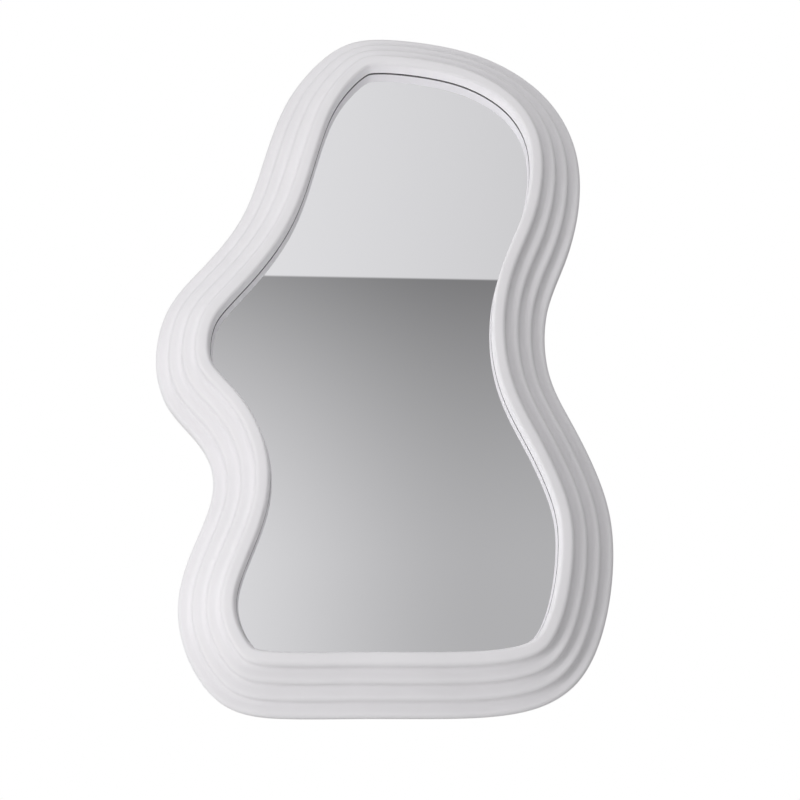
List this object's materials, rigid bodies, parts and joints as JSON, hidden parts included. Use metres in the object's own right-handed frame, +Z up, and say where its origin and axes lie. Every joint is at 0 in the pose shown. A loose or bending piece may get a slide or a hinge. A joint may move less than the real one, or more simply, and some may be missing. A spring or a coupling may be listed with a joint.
{
  "type": "irregular shaped wall mirror",
  "caption": "Wall mirror with a free-form wavy outline: a white stepped moulding round a recessed silvered glass, with swinging hanger loops and turn buttons behind.",
  "frame": {"origin": "on the wall plane, midway between the two hooks that carry the hanger loops", "axes": "+Z up, +Y into the wall, so the mirror faces -Y, and +X to the right seen from the front"},
  "size_m": [0.597, 0.0749, 0.9483],
  "materials": {
    "white_lacquer": "white satin lacquer on moulded polyurethane foam",
    "mirror_glass": "float glass silvered on its back",
    "setting_tape": "black closed-cell foam tape",
    "filler_foam": "light expanded foam",
    "fibreboard": "raw medium-density fibreboard",
    "black_rubber": "moulded rubber",
    "zinc_steel": "zinc-plated steel"
  },
  "bodies": {
    "mirror": {"frame_moulding": "white_lacquer", "setting_tape": "setting_tape", "mirror_glass": "mirror_glass", "filler_panel": "filler_foam", "back_board": "fibreboard", "setting_block_left": "black_rubber", "setting_block_right": "black_rubber", "turn_button_screw_1": "zinc_steel", "turn_button_screw_2": "zinc_steel", "turn_button_screw_3": "zinc_steel", "turn_button_screw_4": "zinc_steel", "turn_button_screw_5": "zinc_steel", "turn_button_screw_6": "zinc_steel", "turn_button_screw_7": "zinc_steel", "turn_button_screw_8": "zinc_steel", "hanger_strap_left": "zinc_steel", "hanger_strap_right": "zinc_steel", "hanger_screw_left_1": "zinc_steel", "hanger_screw_left_2": "zinc_steel", "hanger_screw_right_1": "zinc_steel", "hanger_screw_right_2": "zinc_steel", "wall_bumper_1": "black_rubber", "wall_bumper_2": "black_rubber", "wall_bumper_3": "black_rubber", "wall_bumper_4": "black_rubber"},
    "loop_left": {"hanger_loop_left": "zinc_steel"},
    "loop_right": {"hanger_loop_right": "zinc_steel"},
    "button_1": {"turn_button_1": "zinc_steel"},
    "button_2": {"turn_button_2": "zinc_steel"},
    "button_3": {"turn_button_3": "zinc_steel"},
    "button_4": {"turn_button_4": "zinc_steel"},
    "button_5": {"turn_button_5": "zinc_steel"},
    "button_6": {"turn_button_6": "zinc_steel"},
    "button_7": {"turn_button_7": "zinc_steel"},
    "button_8": {"turn_button_8": "zinc_steel"}
  },
  "joints": [
    {"name": "loop_left_swing", "type": "hinge", "parent": "mirror", "child": "loop_left", "pos_m": [-0.19416, -0.004, 0], "axis": [-1, 0, 0], "range_deg": [0, 184]},
    {"name": "loop_right_swing", "type": "hinge", "parent": "mirror", "child": "loop_right", "pos_m": [0.19416, -0.004, 0], "axis": [-1, 0, 0], "range_deg": [0, 184]},
    {"name": "button_1_turn", "type": "hinge", "parent": "mirror", "child": "button_1", "pos_m": [-0.10991, -0.0064, 0.16183], "axis": [0, 1, 0], "continuous": true},
    {"name": "button_2_turn", "type": "hinge", "parent": "mirror", "child": "button_2", "pos_m": [0.119, -0.0064, 0.14608], "axis": [0, 1, 0], "continuous": true},
    {"name": "button_3_turn", "type": "hinge", "parent": "mirror", "child": "button_3", "pos_m": [0.14585, -0.0064, -0.09498], "axis": [0, 1, 0], "continuous": true},
    {"name": "button_4_turn", "type": "hinge", "parent": "mirror", "child": "button_4", "pos_m": [0.19081, -0.0064, -0.44236], "axis": [0, 1, 0], "continuous": true},
    {"name": "button_5_turn", "type": "hinge", "parent": "mirror", "child": "button_5", "pos_m": [0.1028, -0.0064, -0.64127], "axis": [0, 1, 0], "continuous": true},
    {"name": "button_6_turn", "type": "hinge", "parent": "mirror", "child": "button_6", "pos_m": [-0.2039, -0.0064, -0.64103], "axis": [0, 1, 0], "continuous": true},
    {"name": "button_7_turn", "type": "hinge", "parent": "mirror", "child": "button_7", "pos_m": [-0.21432, -0.0064, -0.38447], "axis": [0, 1, 0], "continuous": true},
    {"name": "button_8_turn", "type": "hinge", "parent": "mirror", "child": "button_8", "pos_m": [-0.24522, -0.0064, -0.13832], "axis": [0, 1, 0], "continuous": true}
  ]
}
